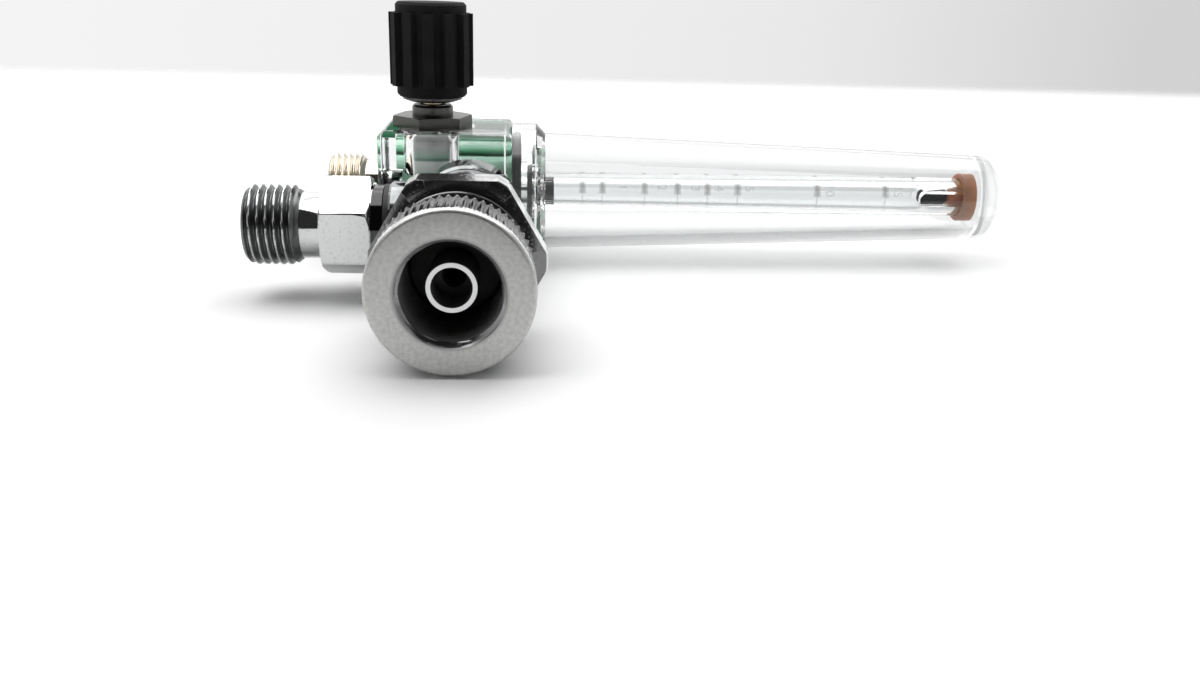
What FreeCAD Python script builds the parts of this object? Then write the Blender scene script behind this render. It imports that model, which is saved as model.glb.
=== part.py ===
"""Oxygen flowmeter, lying on its side: a clear block with a tapered clear cover tube to the right,
a black control knob on top, a hand-tight swivel nut on the inlet towards the front, a chromed
take-off fitting to the left and a threaded outlet behind it.

Millimetres. The origin is the centre of the swivel nut's mouth. +X runs along the metering tube,
+Y from the nut's mouth into the instrument, and +Z up to the knob.
"""
import FreeCAD, Part
import math
import os
from types import SimpleNamespace

import Sketcher

SIZES = {
    # Places of the axes
    "inlet_reach": 74.7,
    "tube_rise": 0.7,
    "block_shift": 4.9,
    "valve_shift": 3.1,
    "side_offset": 31.3,
    # Clear block
    "block_width": 26.0,
    "block_depth": 26.0,
    "block_height": 26.0,
    "block_edge": 1.2,
    "spigot_radius": 10.2,
    "spigot_length": 4.5,
    "passage_radius": 1.2,
    "return_radius": 1.3,
    "return_offset": 6.0,
    "label_width": 22.4,
    "label_height": 21.0,
    "label_thickness": 0.25,
    "label_corner": 1.5,
    # Gaps
    "slip_gap": 0.1,
    "seat_gap": 0.05,
    # Swivel nut
    "nut_length": 25.0,
    "nut_flats": 26.0,
    "nut_hex_length": 6.2,
    "nut_chamfer": 0.6,
    "nut_corner_radius": 14.5,
    "knurl_radius": 12.6,
    "knurl_length": 10.0,
    "knurl_depth": 0.45,
    "knurl_count": 60,
    "nut_neck_radius": 11.2,
    "nut_bore_radius": 7.48,
    "nut_mouth_radius": 8.25,
    "nut_edge": 0.7,
    "nut_web": 6.0,
    "nut_relief_radius": 8.5,
    "nut_relief_length": 4.4,
    "nut_play": 1.0,
    # Inlet nipple
    "nipple_recess": 3.7,
    "nose_radius": 3.8,
    "nipple_mouth_radius": 3.1,
    "nipple_mouth_depth": 7.0,
    "nipple_bore_radius": 1.9,
    "shoulder_radius": 7.0,
    "shoulder_length": 3.3,
    "shoulder_cone": 2.2,
    "shank_radius": 5.2,
    "shank_length": 7.0,
    "filter_radius": 3.1,
    "filter_length": 2.5,
    # Inlet adapter
    "tee_radius": 9.0,
    "adapter_collar_radius": 9.6,
    "adapter_collar_length": 10.0,
    "adapter_edge": 0.5,
    "adapter_taper": 2.4,
    "boss_radius": 8.0,
    "boss_reach": 13.2,
    "adapter_tail_radius": 5.4,
    "adapter_tail_length": 6.0,
    "gas_bore_radius": 2.4,
    # Take-off fitting
    "side_thread_radius": 7.14,
    "side_thread_length": 9.7,
    "side_neck_radius": 5.9,
    "side_neck_length": 3.8,
    "side_flats": 16.0,
    "side_hex_length": 8.6,
    "side_hex_turn": -5.0,
    "side_collar_radius": 7.3,
    "side_collar_length": 2.2,
    "side_washer": 0.8,
    "side_shank_radius": 6.0,
    "side_shank_length": 6.4,
    "side_bore_radius": 3.3,
    "side_chamfer": 0.9,
    # Outlet stub
    "stub_thread_radius": 7.0,
    "stub_thread_length": 7.2,
    "stub_neck_radius": 5.8,
    "stub_neck_length": 3.5,
    "stub_shank_radius": 4.8,
    "stub_shank_length": 3.6,
    "stub_bore_radius": 2.6,
    "stub_chamfer": 0.7,
    # Cover tube
    "cover_length": 101.4,
    "cover_collar_radius": 13.7,
    "cover_collar_length": 4.9,
    "cover_slope_length": 1.7,
    "cover_root_radius": 11.85,
    "cover_end_radius": 8.7,
    "cover_wall": 2.1,
    "cover_end_wall": 4.6,
    "cover_dome": 3.2,
    "cover_ring_section": 0.9,
    # Metering tube and float
    "tube_radius": 4.0,
    "tube_overlap": 6.6,
    "tube_end_gap": 0.7,
    "bore_low_radius": 1.9,
    "bore_high_radius": 2.3,
    "slot_width": 2.5,
    "slot_length": 11.1,
    "tube_ring_section": 0.75,
    "float_radius": 1.78,
    "float_length": 6.0,
    "float_nose": 0.6,
    "float_rest": 0.4,
    "stop_place": 6.2,
    "stop_length": 2.3,
    "stop_bore_radius": 0.9,
    "cap_radius": 5.0,
    "cap_length": 2.6,
    "cap_spigot_length": 4.0,
    "cap_disc": 0.6,
    # Needle valve
    "gland_radius": 5.5,
    "gland_depth": 9.0,
    "bonnet_washer": 0.6,
    "bonnet_sink": 1.7,
    "bonnet_recess_radius": 8.5,
    "bonnet_flats": 14.0,
    "bonnet_hex_length": 3.3,
    "bonnet_hex_turn": 15.0,
    "bonnet_neck_radius": 4.1,
    "bonnet_neck_length": 2.1,
    "bonnet_chamfer": 0.4,
    "chamber_radius": 3.6,
    "seat_drop": 3.2,
    "seat_length": 4.0,
    "seat_orifice_radius": 0.8,
    "seat_mouth_radius": 1.7,
    "seat_mouth_depth": 1.5,
    "inlet_well_depth": 3.0,
    "inlet_well_radius": 1.6,
    "stem_radius": 2.6,
    "stem_slim_radius": 1.6,
    "stem_tip_radius": 0.45,
    "needle_length": 4.2,
    "needle_dip": 1.7,
    "stem_groove_radius": 1.55,
    "stem_groove_width": 1.3,
    "stem_ring_section": 0.5,
    "stem_ring_depth": 2.4,
    "stem_top_radius": 1.9,
    "stem_top_length": 13.0,
    # Knob
    "knob_gap": 0.65,
    "insert_cone_radius": 5.9,
    "insert_foot_radius": 4.5,
    "insert_cone_length": 1.0,
    "insert_radius": 3.4,
    "insert_length": 9.0,
    "knob_core_radius": 6.95,
    "knob_length": 18.1,
    "knob_edge": 0.5,
    "rib_radius": 8.2,
    "rib_width": 2.3,
    "rib_start": 2.15,
    "rib_length": 13.9,
    "rib_count": 12,
}

PARTS_FOLDER = "parts"


class Size:
    """A length, with the sheet expression that gives it."""

    def __init__(self, value, text):
        self.value = value
        self.text = text

    def __neg__(self):
        return Size(-self.value, f"-({self.text})")

    def __add__(self, other):
        other = as_size(other)
        return Size(self.value + other.value, f"({self.text} + {other.text})")

    def __sub__(self, other):
        other = as_size(other)
        return Size(self.value - other.value, f"({self.text} - ({other.text}))")

    def __mul__(self, factor):
        return Size(self.value * factor, f"({self.text}) * {factor!r}")

    def __truediv__(self, divisor):
        return Size(self.value / divisor, f"({self.text}) / {divisor!r}")


def as_size(number):
    """A plain number as a Size, so that both can be mixed."""
    if isinstance(number, Size):
        return number
    return Size(float(number), repr(float(number)))


def make_sheet(document):
    """Puts every driving size into the sheet and returns the sizes by name."""
    sheet = document.addObject("Spreadsheet::Sheet", "Sizes")
    names = {}
    for row, (alias, value) in enumerate(SIZES.items(), start=1):
        sheet.set(f"A{row}", alias)
        sheet.set(f"B{row}", str(value))
        sheet.setAlias(f"B{row}", alias)
        names[alias] = Size(float(value), f"Sizes.{alias}")
    document.recompute()
    return SimpleNamespace(**names)


doc = FreeCAD.newDocument("flowmeter")
s = make_sheet(doc)

DIRECTIONS = {
    "+X": FreeCAD.Vector(1, 0, 0),
    "-X": FreeCAD.Vector(-1, 0, 0),
    "+Y": FreeCAD.Vector(0, 1, 0),
    "-Y": FreeCAD.Vector(0, -1, 0),
    "+Z": FreeCAD.Vector(0, 0, 1),
    "-Z": FreeCAD.Vector(0, 0, -1),
}
HEX_CORNER = 1 / math.cos(math.radians(30))
PIECES = []


def bind(target, prop, size):
    """Sets one property and ties it to the sheet."""
    target.setExpression(prop, as_size(size).text)


def put(target, where, direction="+X", own_axis="+X", turn=0.0):
    """Stands an object at a point, with its own axis along a direction, turned about that axis."""
    aim = FreeCAD.Rotation(DIRECTIONS[own_axis], DIRECTIONS[direction])
    spin = FreeCAD.Rotation(DIRECTIONS[own_axis], turn)
    target.Placement = FreeCAD.Placement(FreeCAD.Vector(0, 0, 0), aim.multiply(spin))
    for prop, size in zip(("x", "y", "z"), where):
        bind(target, f"Placement.Base.{prop}", size)
    return target


def origin_part(body, role):
    """One of a body's own origin planes or axes."""
    return next(part for part in body.Origin.OriginFeatures if part.Role == role)


def draw(body, name, plane, corners):
    """A closed outline of straight lines in a body, each corner held by the sheet."""
    sketch = body.newObject("Sketcher::SketchObject", name)
    sketch.AttachmentSupport = (origin_part(body, plane), [""])
    sketch.MapMode = "FlatFace"
    corners = [(as_size(across), as_size(up)) for across, up in corners]
    points = [FreeCAD.Vector(across.value, up.value, 0) for across, up in corners]
    count = len(points)
    for index in range(count):
        sketch.addGeometry(Part.LineSegment(points[index], points[(index + 1) % count]), False)
    for index in range(count):
        sketch.addConstraint(Sketcher.Constraint("Coincident", index, 2, (index + 1) % count, 1))
    axes = (("DistanceX", -2), ("DistanceY", -1))
    for index, corner in enumerate(corners):
        for (kind, axis), size in zip(axes, corner):
            if size.value == 0:
                sketch.addConstraint(Sketcher.Constraint("PointOnObject", index, 1, axis))
                continue
            held = sketch.addConstraint(Sketcher.Constraint(kind, -1, 1, index, 1, size.value))
            bind(sketch, f"Constraints[{held}]", size)
    return sketch


def turned(label, corners, where, direction="+X"):
    """A turned solid: corners are (distance along the axis, radius)."""
    body = doc.addObject("PartDesign::Body", label)
    sketch = draw(body, f"{label}_profile", "XY_Plane", corners)
    turning = body.newObject("PartDesign::Revolution", f"{label}_turning")
    turning.Profile = sketch
    turning.ReferenceAxis = (sketch, ["H_Axis"])
    turning.Angle = 360
    put(body, where, direction)
    return body


def repeat(body, feature, count):
    """Repeats a feature round a turned body's axis."""
    pattern = body.newObject("PartDesign::PolarPattern", f"{feature.Name}_pattern")
    pattern.Originals = [feature]
    pattern.Axis = (origin_part(body, "X_Axis"), [""])
    pattern.Angle = 360
    bind(pattern, "Occurrences", count)
    body.Tip = pattern
    return pattern


def round_edges(body, wanted, radius):
    """Rounds those edges of a body's last feature that a test picks."""
    doc.recompute()
    base = body.Tip
    names = [f"Edge{n}" for n, edge in enumerate(base.Shape.Edges, start=1) if wanted(edge)]
    rounding = body.newObject("PartDesign::Fillet", f"{body.Name}_rounding")
    rounding.Base = (base, names)
    bind(rounding, "Radius", radius)
    return rounding


def on_circle(along, radius):
    """Picks the circular edge of that radius at that place on a turned body's own axis."""
    def test(edge):
        curve = edge.Curve
        return (isinstance(curve, Part.Circle) and abs(curve.Center.x - along.value) < 1e-3
                and abs(curve.Radius - radius.value) < 1e-3)
    return test


def rounded_plate(label, width, depth, height, radius, wanted, where):
    """A block with rounded edges, from its lowest corner."""
    body = doc.addObject("PartDesign::Body", label)
    solid = body.newObject("PartDesign::AdditiveBox", f"{label}_blank")
    for prop, size in zip(("Length", "Width", "Height"), (width, depth, height)):
        bind(solid, prop, size)
    round_edges(body, wanted, radius)
    put(body, where)
    return body


def rod(name, radius, length, where, direction):
    """A plain cylinder, mostly a drill for a bore."""
    cylinder = doc.addObject("Part::Cylinder", name)
    bind(cylinder, "Radius", radius)
    bind(cylinder, "Height", length)
    return put(cylinder, where, direction, own_axis="+Z")


def hexagon(name, flats, length, chamfer, where, direction, turn=0.0, corner=None):
    """A hexagon bar whose corners are chamfered at both ends, and turned off where a radius is given."""
    bar = doc.addObject("Part::Prism", f"{name}_bar")
    bar.Polygon = 6
    bind(bar, "Circumradius", flats / 2 * HEX_CORNER)
    bind(bar, "Height", length)
    put(bar, where, direction, own_axis="+Z", turn=turn)
    corner = corner or flats / 2 * HEX_CORNER
    limits = [(0, 0), (0, corner - chamfer), (chamfer / 2, corner), (length - chamfer / 2, corner),
              (length, corner - chamfer), (length, 0)]
    limit = turned(f"{name}_limit", limits, where, direction)
    both = doc.addObject("Part::Common", name)
    both.Base = bar
    both.Tool = limit
    return both


def ring(label, middle, section, where, direction):
    """A round sealing ring: its section's centre radius and section radius."""
    torus = doc.addObject("Part::Torus", label)
    bind(torus, "Radius1", middle)
    bind(torus, "Radius2", section)
    return put(torus, where, direction, own_axis="+Z")


def join(name, *solids):
    """Fuses solids into one."""
    fused = doc.addObject("Part::MultiFuse", name)
    fused.Shapes = list(solids)
    fused.Refine = True
    return fused


def cut(name, base, *drills):
    """Takes the drills out of a solid."""
    result = doc.addObject("Part::Cut", name)
    result.Base = base
    result.Tool = drills[0] if len(drills) == 1 else join(f"{name}_drills", *drills)
    return result


def piece(label, made):
    """Names a finished piece, which goes to its own file."""
    made.Label = label
    PIECES.append(made)
    return made


# Places that several pieces share
tube_y = s.inlet_reach
tube_z = s.tube_rise
block_left = -s.block_shift - s.block_width / 2
block_right = -s.block_shift + s.block_width / 2
block_front = s.inlet_reach - s.block_depth / 2
block_back = s.inlet_reach + s.block_depth / 2
block_top = s.tube_rise + s.block_height / 2
block_bottom = s.tube_rise - s.block_height / 2
valve_x = -s.block_shift - s.valve_shift
side_y = s.inlet_reach - s.side_offset
adapter_front = s.nut_length + s.nut_play
cover_end = block_right + s.cover_length
cover_inner_end = cover_end - s.cover_end_wall
tube_start = block_right + s.spigot_length - s.tube_overlap
tube_end = cover_inner_end - s.tube_end_gap
tube_length = tube_end - tube_start
spigot_end = block_right + s.spigot_length
seat_top = tube_z - s.seat_drop
seat_bottom = seat_top - s.seat_length
gland_bottom = block_top - s.gland_depth
bonnet_seat = block_top - s.bonnet_sink
bonnet_top = bonnet_seat + s.bonnet_washer + s.bonnet_hex_length + s.bonnet_neck_length
stem_tip = seat_top - s.needle_dip
insert_bottom = bonnet_top + s.knob_gap
knob_bottom = insert_bottom + s.insert_cone_length
metering_y = (tube_y, tube_z)


def tube_bore_radius(along):
    """The metering tube's bore widens evenly from its lower end to its upper end."""
    share = along.value / tube_length.value
    value = s.bore_low_radius.value + (s.bore_high_radius.value - s.bore_low_radius.value) * share
    text = (f"({s.bore_low_radius.text} + ({s.bore_high_radius.text} - {s.bore_low_radius.text})"
            f" * ({along.text}) / ({tube_length.text}))")
    return Size(value, text)


def make_block():
    """The clear block: spigot for the cover, and the drilled ways for gas."""
    blank = rounded_plate("block_blank", s.block_width, s.block_depth, s.block_height, s.block_edge,
                          lambda edge: True, (block_left, block_front, block_bottom))
    root = s.block_edge + 1.0
    spigot = turned("block_spigot", [
        (0, 0), (0, s.spigot_radius), (s.spigot_length + root - 0.5, s.spigot_radius),
        (s.spigot_length + root, s.spigot_radius - 0.5), (s.spigot_length + root, 0),
    ], (block_right - root, tube_y, tube_z))
    pocket = turned("tube_pocket", [
        (0, 0), (0, s.tube_radius + s.seat_gap),
        (s.tube_overlap - s.tube_ring_section * 2, s.tube_radius + s.seat_gap),
        (s.tube_overlap - s.tube_ring_section * 2, s.tube_radius + s.tube_ring_section * 2),
        (s.tube_overlap + 1.0, s.tube_radius + s.tube_ring_section * 2), (s.tube_overlap + 1.0, 0),
    ], (tube_start, tube_y, tube_z))
    feed = rod("feed_way", s.passage_radius, tube_start - valve_x + 1.0,
               (valve_x, tube_y, tube_z), "+X")
    gland = rod("gland_bore", s.gland_radius + s.seat_gap, s.gland_depth + 1.0,
                (valve_x, tube_y, gland_bottom), "+Z")
    recess = rod("bonnet_recess", s.bonnet_recess_radius, s.bonnet_sink + 1.0,
                 (valve_x, tube_y, bonnet_seat), "+Z")
    chamber = rod("valve_chamber", s.chamber_radius, gland_bottom - seat_bottom + 0.5,
                  (valve_x, tube_y, seat_bottom), "+Z")
    well = rod("inlet_well", s.inlet_well_radius, s.inlet_well_depth + 0.5,
               (valve_x, tube_y, seat_bottom - s.inlet_well_depth), "+Z")
    inlet = rod("inlet_pocket", s.adapter_tail_radius + s.seat_gap, s.adapter_tail_length + 1.5,
                (0, block_front - 1.0, 0), "+Y")
    inlet_way = doc.addObject("Part::Feature", "inlet_way")
    start = FreeCAD.Vector(0, (block_front + s.adapter_tail_length).value, 0)
    finish = FreeCAD.Vector(valve_x.value, tube_y.value, (seat_bottom - s.inlet_well_depth / 2).value)
    inlet_way.Shape = Part.makeCylinder(s.passage_radius.value, (finish - start).Length, start,
                                        finish - start)
    outlet = rod("outlet_pocket", s.stub_shank_radius + s.seat_gap, s.stub_shank_length + 1.5,
                 (block_left - 1.0, tube_y, tube_z), "+X")
    gas_return = rod("return_way", s.return_radius, spigot_end - block_left - s.stub_shank_length + 2.2,
                     (block_left + s.stub_shank_length - 1.2, tube_y + s.return_offset, tube_z), "+X")
    solid = join("block_solid", blank, spigot)
    bored = cut("block_bored", solid, gland, recess, chamber, well, inlet, outlet)
    return piece("body_block", cut("block_cut", bored, pocket, feed, inlet_way, gas_return))


def make_label():
    """The printed panel on the block's face, left bare."""
    def upright(edge):
        return abs(edge.tangentAt(edge.FirstParameter).y) > 0.9
    plate = rounded_plate("label_plate", s.label_width, s.label_thickness, s.label_height,
                          s.label_corner, upright,
                          (-s.block_shift - s.label_width / 2, block_back, tube_z - s.label_height / 2))
    return piece("face_label", plate)


def make_cover():
    """The tapered clear cover, with its screwed collar and domed closed end."""
    inner_root = s.cover_root_radius - s.cover_wall
    inner_end = s.cover_end_radius - s.cover_wall
    collar_bore = s.spigot_radius + s.seat_gap
    housing = collar_bore + s.cover_ring_section * 2 + s.seat_gap
    neck = s.cover_collar_length + s.cover_slope_length
    bore_end = s.cover_length - s.cover_end_wall
    body = turned("cover_shell", [
        (0, housing), (0, s.cover_collar_radius), (s.cover_collar_length, s.cover_collar_radius),
        (neck, s.cover_root_radius), (s.cover_length, s.cover_end_radius), (s.cover_length, 0),
        (bore_end, 0), (bore_end, inner_end), (s.spigot_length + 1.2, inner_root),
        (s.spigot_length + 0.2, collar_bore), (s.cover_ring_section * 2, collar_bore),
        (s.cover_ring_section * 2, housing),
    ], (block_right, tube_y, tube_z))
    round_edges(body, on_circle(s.cover_length, s.cover_end_radius), s.cover_dome)
    piece("tube_cover", body)
    middle = s.spigot_radius + s.seat_gap + s.cover_ring_section
    piece("cover_o_ring", ring("cover_ring", middle, s.cover_ring_section,
                               (block_right + s.cover_ring_section, tube_y, tube_z), "+X"))


def make_metering_tube():
    """The metering tube with its widening bore and slotted upper end, and what sits in it."""
    blank = turned("metering_blank", [
        (0, s.bore_low_radius), (0, s.tube_radius), (tube_length, s.tube_radius),
        (tube_length, s.bore_high_radius),
    ], (tube_start, tube_y, tube_z))
    slot = doc.addObject("Part::Box", "slot_cut")
    bind(slot, "Length", s.slot_length)
    bind(slot, "Width", s.tube_radius * 2 + 2.0)
    bind(slot, "Height", s.slot_width)
    run = s.slot_length - s.slot_width / 2
    put(slot, (tube_end - run, tube_y - s.tube_radius - 1.0, tube_z - s.slot_width / 2))
    slot_round = rod("slot_round", s.slot_width / 2, s.tube_radius * 2 + 2.0,
                     (tube_end - run, tube_y - s.tube_radius - 1.0, tube_z), "+Y")
    piece("metering_tube", cut("metering_cut", blank, slot, slot_round))
    place = s.tube_overlap - s.tube_ring_section
    piece("tube_o_ring", ring("tube_ring", s.tube_radius + s.tube_ring_section, s.tube_ring_section,
                              (tube_start + place, tube_y, tube_z), "+X"))
    stop_start = s.tube_overlap + s.stop_place - s.spigot_length
    piece("float_stop", turned("float_stop_plug", [
        (0, s.stop_bore_radius), (0, tube_bore_radius(stop_start)),
        (s.stop_length, tube_bore_radius(stop_start + s.stop_length)),
        (s.stop_length, s.stop_bore_radius),
    ], (tube_start + stop_start, tube_y, tube_z)))
    spigot_start = tube_length - s.cap_spigot_length
    sleeve = s.tube_radius + s.seat_gap
    piece("tube_cap", turned("tube_cap_cup", [
        (0, 0), (0, s.bore_low_radius), (s.cap_spigot_length, s.bore_low_radius),
        (s.cap_spigot_length, sleeve), (s.cap_spigot_length + s.cap_disc - s.cap_length, sleeve),
        (s.cap_spigot_length + s.cap_disc - s.cap_length, s.cap_radius),
        (s.cap_spigot_length + s.cap_disc, s.cap_radius), (s.cap_spigot_length + s.cap_disc, 0),
    ], (tube_start + spigot_start, tube_y, tube_z)))
    float_start = tube_end - s.cap_spigot_length - s.float_rest - s.float_length
    piece("float_bobbin", turned("float_body", [
        (0, 0), (0, s.float_radius - s.float_nose), (s.float_nose, s.float_radius),
        (s.float_length - s.float_nose, s.float_radius),
        (s.float_length, s.float_radius - s.float_nose), (s.float_length, 0),
    ], (float_start, tube_y, tube_z)))


def make_valve():
    """The needle valve: seat, gland, spindle and its sealing ring."""
    piece("valve_seat", turned("seat_insert", [
        (0, s.seat_orifice_radius), (0, s.chamber_radius), (s.seat_length, s.chamber_radius),
        (s.seat_length, s.seat_mouth_radius),
        (s.seat_length - s.seat_mouth_depth, s.seat_orifice_radius),
    ], (valve_x, tube_y, seat_bottom), "+Z"))
    piece("bonnet_washer", turned("bonnet_washer_disc", [
        (0, s.gland_radius + s.seat_gap), (0, s.bonnet_flats / 2 + 0.2),
        (s.bonnet_washer, s.bonnet_flats / 2 + 0.2), (s.bonnet_washer, s.gland_radius + s.seat_gap),
    ], (valve_x, tube_y, bonnet_seat), "+Z"))
    shank = bonnet_seat + s.bonnet_washer - gland_bottom
    top = shank + s.bonnet_hex_length + s.bonnet_neck_length
    gland = turned("gland_turning", [
        (0, 0), (0, s.gland_radius - s.bonnet_chamfer), (s.bonnet_chamfer, s.gland_radius),
        (shank + 1.0, s.gland_radius), (shank + 1.0, s.bonnet_neck_radius),
        (top - s.bonnet_chamfer, s.bonnet_neck_radius),
        (top, s.bonnet_neck_radius - s.bonnet_chamfer), (top, 0),
    ], (valve_x, tube_y, gland_bottom), "+Z")
    flats = hexagon("bonnet_hexagon", s.bonnet_flats, s.bonnet_hex_length, s.bonnet_chamfer,
                    (valve_x, tube_y, bonnet_seat + s.bonnet_washer), "+Z", s.bonnet_hex_turn.value)
    bore = rod("bonnet_bore", s.stem_radius + s.slip_gap, top + 2.0,
               (valve_x, tube_y, gland_bottom - 1.0), "+Z")
    piece("valve_bonnet", cut("bonnet_cut", join("bonnet_solid", gland, flats), bore))
    thread_start = gland_bottom - stem_tip + 0.6
    shoulder = bonnet_top - stem_tip - 0.5
    groove = shoulder - s.stem_ring_depth
    piece("needle_spindle", turned("spindle_turning", [
        (0, 0), (0, s.stem_tip_radius), (s.needle_length, s.stem_slim_radius),
        (thread_start, s.stem_slim_radius), (thread_start + 0.5, s.stem_radius),
        (groove, s.stem_radius), (groove, s.stem_groove_radius),
        (groove + s.stem_groove_width, s.stem_groove_radius), (groove + s.stem_groove_width, s.stem_radius),
        (shoulder, s.stem_radius), (shoulder, s.stem_top_radius),
        (shoulder + s.stem_top_length, s.stem_top_radius), (shoulder + s.stem_top_length, 0),
    ], (valve_x, tube_y, stem_tip), "+Z"))
    middle = s.stem_groove_radius + s.stem_ring_section + (s.stem_radius + s.slip_gap
             - s.stem_groove_radius - s.stem_ring_section * 2) / 2
    piece("stem_o_ring", ring("stem_ring", middle, s.stem_ring_section,
                              (valve_x, tube_y, stem_tip + groove + s.stem_groove_width / 2), "+Z"))


def make_knob():
    """The ribbed control knob and the metal insert that grips the spindle."""
    insert_top = s.insert_cone_length + s.insert_length
    piece("knob_insert", turned("insert_turning", [
        (0, s.stem_top_radius), (0, s.insert_foot_radius),
        (s.insert_cone_length / 2, s.insert_cone_radius), (s.insert_cone_length, s.insert_cone_radius),
        (s.insert_cone_length, s.insert_radius), (insert_top, s.insert_radius),
        (insert_top, s.stem_top_radius),
    ], (valve_x, tube_y, insert_bottom), "+Z"))
    stem_reach = bonnet_top - 0.5 + s.stem_top_length - knob_bottom
    body = turned("knob_turning", [
        (0, s.insert_radius), (0, s.knob_core_radius - s.knob_edge), (s.knob_edge, s.knob_core_radius),
        (s.knob_length - s.knob_edge, s.knob_core_radius),
        (s.knob_length, s.knob_core_radius - s.knob_edge), (s.knob_length, 0), (stem_reach, 0),
        (stem_reach, s.stem_top_radius), (s.insert_length, s.stem_top_radius),
        (s.insert_length, s.insert_radius),
    ], (valve_x, tube_y, knob_bottom), "+Z")
    rib = draw(body, "knob_rib_outline", "YZ_Plane", [
        (s.rib_width * 0.6, s.knob_core_radius - 1.0), (s.rib_width * 0.4, s.rib_radius),
        (s.rib_width * -0.4, s.rib_radius), (s.rib_width * -0.6, s.knob_core_radius - 1.0),
    ])
    bind(rib, "AttachmentOffset.Base.z", s.rib_start)
    pad = body.newObject("PartDesign::Pad", "knob_rib")
    pad.Profile = rib
    bind(pad, "Length", s.rib_length)
    repeat(body, pad, s.rib_count)
    piece("control_knob", body)


def make_nut():
    """The hand-tight swivel nut: knurled front, plain neck and hexagon rear."""
    barrel = turned("nut_barrel", [
        (0, 0), (0, s.knurl_radius - s.nut_edge), (s.nut_edge, s.knurl_radius),
        (s.knurl_length, s.knurl_radius), (s.knurl_length, s.nut_neck_radius),
        (s.nut_length - s.nut_hex_length + 1.0, s.nut_neck_radius),
        (s.nut_length - s.nut_hex_length + 1.0, 0),
    ], (0, 0, 0), "+Y")
    half = s.knurl_depth
    outline = draw(barrel, "knurl_outline", "YZ_Plane", [
        (half * 1.25, s.knurl_radius + s.knurl_depth * 0.2), (half * -1.25, s.knurl_radius + s.knurl_depth * 0.2),
        (half * -0.15, s.knurl_radius - s.knurl_depth), (half * 0.15, s.knurl_radius - s.knurl_depth),
    ])
    groove = barrel.newObject("PartDesign::Pocket", "knurl_groove")
    groove.Profile = outline
    groove.Reversed = True
    bind(groove, "Length", s.knurl_length)
    repeat(barrel, groove, s.knurl_count)
    flats = hexagon("nut_hexagon", s.nut_flats, s.nut_hex_length, s.nut_chamfer,
                    (0, s.nut_length - s.nut_hex_length, 0), "+Y", corner=s.nut_corner_radius)
    web_front = s.nut_length - s.nut_web
    step = s.nut_mouth_radius - s.nut_bore_radius
    hole = s.shank_radius + s.slip_gap
    bore = turned("nut_bore", [
        (-1.0, 0), (-1.0, s.nut_mouth_radius), (0.05, s.nut_mouth_radius), (step, s.nut_bore_radius),
        (web_front - s.nut_relief_length, s.nut_bore_radius),
        (web_front - s.nut_relief_length, s.nut_relief_radius), (web_front, s.nut_relief_radius),
        (web_front, hole), (s.nut_length + 1.0, hole), (s.nut_length + 1.0, 0),
    ], (0, 0, 0), "+Y")
    piece("swivel_nut", cut("nut_cut", join("nut_solid", barrel, flats), bore))


def make_inlet():
    """The nipple inside the nut, the filter in it, and the adapter with its side boss."""
    tip = s.nipple_recess
    shoulder_back = s.nut_length - s.nut_web - tip - s.slip_gap * 2
    shoulder_front = shoulder_back - s.shoulder_length
    shank_end = adapter_front - tip + s.shank_length
    filter_seat = shank_end - s.filter_length
    piece("inlet_nipple", turned("nipple_turning", [
        (0, s.nipple_mouth_radius), (0, s.nose_radius),
        (shoulder_front - s.shoulder_cone, s.nose_radius), (shoulder_front, s.shoulder_radius),
        (shoulder_back, s.shoulder_radius), (shoulder_back, s.shank_radius),
        (shank_end, s.shank_radius), (shank_end, s.filter_radius), (filter_seat, s.filter_radius),
        (filter_seat, s.nipple_bore_radius), (s.nipple_mouth_depth, s.nipple_bore_radius),
        (s.nipple_mouth_depth, s.nipple_mouth_radius),
    ], (0, tip, 0), "+Y"))
    piece("inlet_filter", rod("filter_disc", s.filter_radius, s.filter_length,
                              (0, tip + filter_seat, 0), "+Y"))
    length = block_front - adapter_front
    tee_end = length - s.adapter_collar_length
    tail = length + s.adapter_tail_length
    tee = turned("adapter_turning", [
        (0, 0), (0, s.tee_radius - s.adapter_edge), (s.adapter_edge, s.tee_radius),
        (tee_end, s.tee_radius), (tee_end, s.adapter_collar_radius - s.adapter_edge),
        (tee_end + s.adapter_edge, s.adapter_collar_radius),
        (length - s.adapter_taper, s.adapter_collar_radius),
        (length, s.adapter_collar_radius - s.adapter_taper), (length, s.adapter_tail_radius),
        (tail, s.adapter_tail_radius), (tail, 0),
    ], (0, adapter_front, 0), "+Y")
    boss = turned("adapter_boss", [
        (0, 0), (0, s.boss_radius), (s.boss_reach - s.adapter_edge, s.boss_radius),
        (s.boss_reach, s.boss_radius - s.adapter_edge), (s.boss_reach, 0),
    ], (0, side_y, 0), "-X")
    front_socket = rod("adapter_socket", s.shank_radius + s.seat_gap, s.shank_length + 1.0,
                       (0, adapter_front - 1.0, 0), "+Y")
    gas = rod("adapter_gas_bore", s.gas_bore_radius, tail + 2.0, (0, adapter_front - 1.0, 0), "+Y")
    side_socket = rod("adapter_side_socket", s.side_shank_radius + s.seat_gap, s.side_shank_length + 1.0,
                      (-s.boss_reach - 1.0, side_y, 0), "+X")
    side_gas = rod("adapter_side_gas", s.gas_bore_radius, s.boss_reach, (-s.boss_reach, side_y, 0), "+X")
    piece("inlet_adapter", cut("adapter_cut", join("adapter_solid", tee, boss), front_socket, gas,
                               side_socket, side_gas))


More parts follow.
